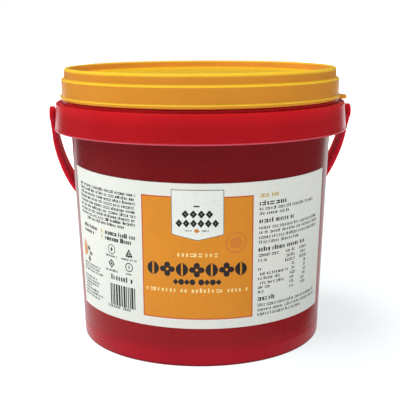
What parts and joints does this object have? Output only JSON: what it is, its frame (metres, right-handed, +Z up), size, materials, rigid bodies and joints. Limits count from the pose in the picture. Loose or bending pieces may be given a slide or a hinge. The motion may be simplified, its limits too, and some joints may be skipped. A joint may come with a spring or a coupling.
{
  "type": "round plastic tub of jaggery with snap lid and handle",
  "caption": "Round tapered plastic tub with an overhanging skirt, a stepped snap lid, a paper label and a swinging strap handle.",
  "frame": {"origin": "middle of the foot ring, on the surface the tub stands on", "axes": "+Z up along the tub's axis, -Y out through the label, X along the handle's pivot line"},
  "size_m": [0.146, 0.1402, 0.1297],
  "materials": {
    "tub_plastic": "glossy moulded red plastic, slightly see-through",
    "lid_plastic": "satin moulded yellow plastic",
    "label_paper": "coated white paper with printed fields",
    "handle_plastic": "glossy moulded red plastic"
  },
  "bodies": {
    "tub": {"tub": "tub_plastic", "lid": "lid_plastic", "label": "label_paper"},
    "handle": {"handle": "handle_plastic"}
  },
  "joints": [
    {"name": "handle_swing", "type": "hinge", "parent": "tub", "child": "handle", "pos_m": [0, 0, 0.1077], "axis": [1, 0, 0], "range_deg": [0, 270]}
  ]
}
